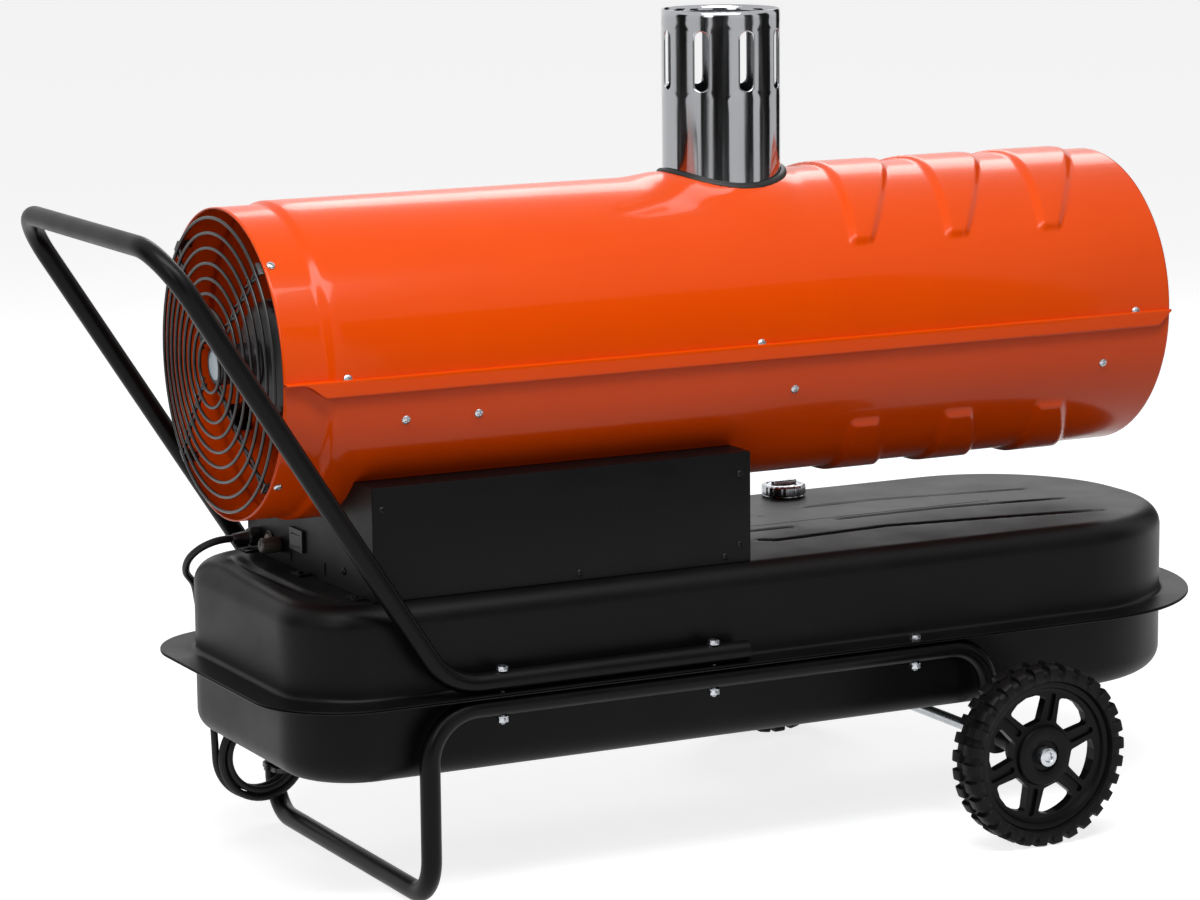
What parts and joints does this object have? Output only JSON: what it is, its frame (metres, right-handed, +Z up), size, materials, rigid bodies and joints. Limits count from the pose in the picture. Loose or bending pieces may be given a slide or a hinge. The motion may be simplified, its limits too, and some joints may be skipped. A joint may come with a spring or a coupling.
{
  "type": "forced_air_heater",
  "caption": "Indirect oil-fired forced air heater: orange sheet casing and steel flue on a black control box and fuel tank, in a bent tube frame with push handle and rear wheels.",
  "frame": {"origin": "On the floor under the middle of the heater's length and width, cord left out", "axes": "+X from the air inlet to the hot air outlet, +Y to the side away from the pictured one, +Z up"},
  "size_m": [1.225, 0.586, 0.832],
  "materials": {
    "orange_paint": "glossy powder coat on pressed steel sheet",
    "black_paint": "satin black powder coat",
    "stainless": "bright polished stainless sheet",
    "zinc_steel": "bright zinc plate",
    "tyre_rubber": "moulded solid rubber",
    "black_rubber": "smooth cable rubber",
    "black_plastic": "moulded black plastic",
    "grey_plastic": "moulded grey plastic",
    "green_board": "lacquered circuit board",
    "brass": "turned brass",
    "ceramic": "glazed ceramic insulator",
    "cast_aluminium": "die-cast motor housing"
  },
  "bodies": {
    "heater": {"tank_upper": "black_paint", "tank_lower": "black_paint", "filler_neck": "zinc_steel", "base_frame": "black_paint", "handle": "black_paint", "frame_bolt_1": "zinc_steel", "frame_bolt_2": "zinc_steel", "frame_bolt_3": "zinc_steel", "frame_bolt_4": "zinc_steel", "frame_bolt_5": "zinc_steel", "frame_bolt_6": "zinc_steel", "axle": "zinc_steel", "near_wheel_cap": "zinc_steel", "near_wheel_spacer": "black_paint", "far_wheel_cap": "zinc_steel", "far_wheel_spacer": "black_paint", "control_box": "black_paint", "near_cover": "black_paint", "far_cover": "black_paint", "cable_gland": "black_plastic", "reset_switch": "black_plastic", "thermostat": "black_plastic", "rocker_housing": "black_plastic", "ignition_transformer": "black_plastic", "control_board": "green_board", "fuel_pump": "zinc_steel", "fuel_filter": "brass", "fuel_line": "brass", "upper_shell": "orange_paint", "lower_shell": "orange_paint", "outlet_ring": "orange_paint", "flue_pipe": "stainless", "flue_gasket": "black_rubber", "heat_exchanger": "stainless", "combustion_chamber": "stainless", "blast_tube": "black_paint", "burner_head": "stainless", "nozzle": "brass", "ignition_electrode": "ceramic", "front_hanger": "stainless", "rear_hanger": "stainless", "fan_motor": "cast_aluminium", "motor_bracket": "black_paint", "inlet_grille": "black_paint", "power_cord": "black_rubber", "cord_coil": "black_rubber", "cord_tail": "black_rubber", "plug": "black_rubber", "cord_tie": "black_plastic", "plug_tie": "black_plastic"},
    "near_wheel": {"near_wheel_tyre": "tyre_rubber", "near_wheel_rim": "black_plastic"},
    "far_wheel": {"far_wheel_tyre": "tyre_rubber", "far_wheel_rim": "black_plastic"},
    "fan": {"fan_shaft": "zinc_steel", "fan_blade": "black_paint"},
    "rocker": {"rocker_paddle": "black_plastic"},
    "dial": {"thermostat_knob": "grey_plastic"},
    "button": {"reset_button": "grey_plastic"},
    "cap": {"fuel_cap": "zinc_steel"}
  },
  "joints": [
    {"name": "near_wheel_spin", "type": "hinge", "parent": "heater", "child": "near_wheel", "pos_m": [0.29, -0.2735, 0.0926], "axis": [0, 1, 0], "continuous": true},
    {"name": "far_wheel_spin", "type": "hinge", "parent": "heater", "child": "far_wheel", "pos_m": [0.29, 0.2735, 0.0926], "axis": [0, 1, 0], "continuous": true},
    {"name": "fan_spin", "type": "hinge", "parent": "heater", "child": "fan", "pos_m": [-0.285, 0, 0.511], "axis": [1, 0, 0], "continuous": true},
    {"name": "rocker_throw", "type": "hinge", "parent": "heater", "child": "rocker", "pos_m": [-0.383, 0.025, 0.327], "axis": [0, 0, 1], "range_deg": [-12, 0]},
    {"name": "dial_turn", "type": "hinge", "parent": "heater", "child": "dial", "pos_m": [-0.383, 0.073, 0.314], "axis": [1, 0, 0], "range_deg": [-135, 135]},
    {"name": "button_press", "type": "slide", "parent": "heater", "child": "button", "axis": [1, 0, 0], "range_m": [0, 0.002], "stiffness_N_per_m": 400},
    {"name": "cap_turn", "type": "hinge", "parent": "heater", "child": "cap", "pos_m": [0.23, 0.137, 0.3], "axis": [0, 0, 1], "range_deg": [0, 90]}
  ]
}
